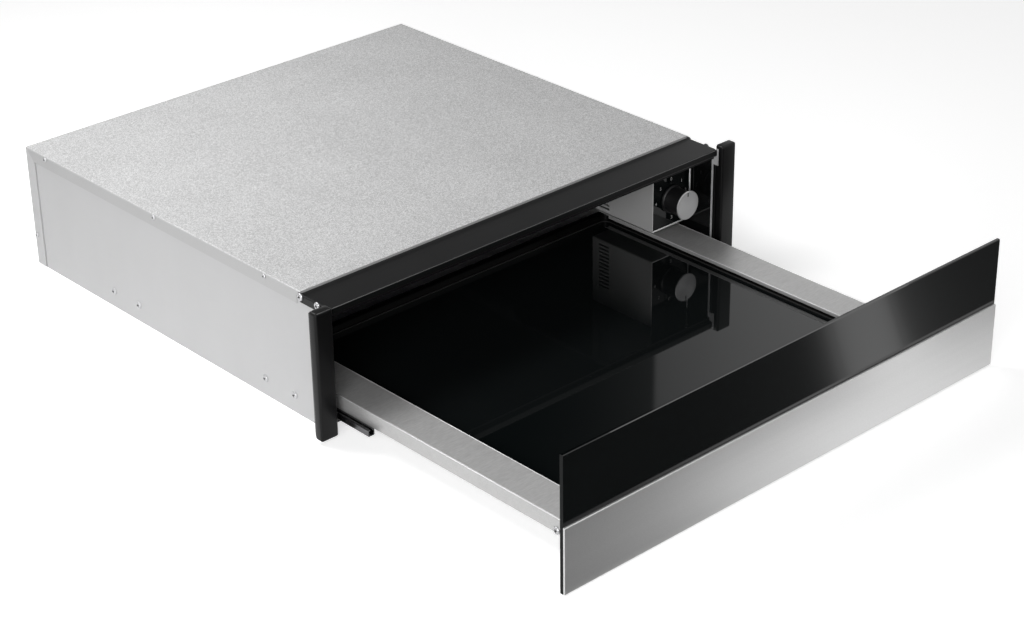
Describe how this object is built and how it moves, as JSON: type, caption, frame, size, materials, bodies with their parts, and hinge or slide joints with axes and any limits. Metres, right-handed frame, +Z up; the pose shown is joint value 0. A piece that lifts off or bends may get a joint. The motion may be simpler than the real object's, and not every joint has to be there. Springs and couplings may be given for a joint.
{
  "type": "built-in warming drawer",
  "caption": "Built-in warming drawer: sheet-metal cabinet, glass-floored drawer on telescopic runners, dial control inside, glass front with a steel band.",
  "frame": {"origin": "centre of the underside of the cabinet's base, midway between the bottom rail's front and the back panel's rear face", "axes": "+X to the right seen from the front, +Y from the front towards the back panel, +Z up; the drawer slides out along -Y"},
  "size_m": [0.594, 0.888, 0.1425],
  "materials": {
    "galvanised_sheet": "spangled galvanised sheet",
    "grey_sheet": "smooth zinc-coated sheet",
    "black_frame": "satin black powder coat",
    "black_enamel": "gloss black enamel",
    "stainless": "brushed stainless steel",
    "zinc_rail": "bright zinc plate",
    "black_glass": "black glass, polished, not see-through",
    "black_plastic": "fine black plastic",
    "white_plastic": "acetal",
    "spun_aluminium": "spun face",
    "seal": "silicone",
    "wool": "mineral wool board",
    "element": "dull heat-tinted steel",
    "ceramic": "glazed ceramic",
    "screw": "bright screw"
  },
  "bodies": {
    "cabinet": {"base_pan": "grey_sheet", "left_side_panel": "grey_sheet", "right_side_panel": "grey_sheet", "back_panel": "grey_sheet", "top_cover": "galvanised_sheet", "top_rail": "black_frame", "bottom_rail": "black_frame", "left_post": "black_frame", "right_post": "black_frame", "cavity_ceiling": "black_enamel", "cavity_left_wall": "black_enamel", "cavity_right_wall": "black_enamel", "cavity_rear_wall": "black_enamel", "ceiling_insulation": "wool", "control_box": "stainless", "control_face": "black_glass", "thermostat_switch": "black_plastic", "fan_frame": "black_plastic", "fan_motor": "black_plastic", "heating_element": "element", "heater_clips": "grey_sheet", "thermal_cutout": "black_plastic", "terminal_block": "ceramic", "cable_gland": "black_plastic", "left_fixed_rail": "zinc_rail", "right_fixed_rail": "zinc_rail", "cabinet_glides": "white_plastic", "latch_housing": "white_plastic", "latch_spring": "screw", "cover_screws": "screw", "frame_screws": "screw", "post_screws": "screw", "runner_screws": "screw", "back_screws": "screw"},
    "drawer": {"tray_pan": "black_enamel", "glass_floor": "black_glass", "glass_seal": "seal", "drawer_left_channel": "stainless", "drawer_right_channel": "stainless", "drawer_front_rail": "black_frame", "drawer_rear_rail": "black_frame", "front_brackets": "grey_sheet", "front_backing": "black_frame", "front_glass": "black_glass", "front_steel_band": "stainless", "latch_catch": "grey_sheet", "skirt_screws": "screw", "left_drawer_rail": "zinc_rail", "right_drawer_rail": "zinc_rail", "drawer_glides": "white_plastic"},
    "left_middle": {"left_middle_rail": "zinc_rail", "left_middle_glides": "white_plastic"},
    "right_middle": {"right_middle_rail": "zinc_rail", "right_middle_glides": "white_plastic"},
    "dial": {"knob_body": "black_plastic", "knob_cap": "spun_aluminium", "switch_spindle": "screw"},
    "fan": {"fan_rotor": "black_plastic"},
    "plunger": {"latch_plunger": "white_plastic"}
  },
  "joints": [
    {"name": "drawer_slide", "type": "slide", "parent": "cabinet", "child": "drawer", "axis": [0, -1, 0], "range_m": [-0.3375, 0.04]},
    {"name": "left_runner_slide", "type": "slide", "parent": "cabinet", "child": "left_middle", "axis": [0, -1, 0], "range_m": [-0.16875, 0.02]},
    {"name": "right_runner_slide", "type": "slide", "parent": "cabinet", "child": "right_middle", "axis": [0, -1, 0], "range_m": [-0.16875, 0.02]},
    {"name": "dial_turn", "type": "hinge", "parent": "cabinet", "child": "dial", "pos_m": [0.2325, -0.237, 0.0795], "axis": [0, 1, 0], "range_deg": [0, 285]},
    {"name": "fan_spin", "type": "hinge", "parent": "cabinet", "child": "fan", "pos_m": [0.056, 0.225, 0.081], "axis": [0, 1, 0], "continuous": true},
    {"name": "latch_push", "type": "slide", "parent": "cabinet", "child": "plunger", "axis": [0, -1, 0], "range_m": [0, 0.008]}
  ],
  "couplings": [
    {"joint": "left_runner_slide", "follows": "drawer_slide", "ratio": 0.5},
    {"joint": "right_runner_slide", "follows": "drawer_slide", "ratio": 0.5}
  ]
}
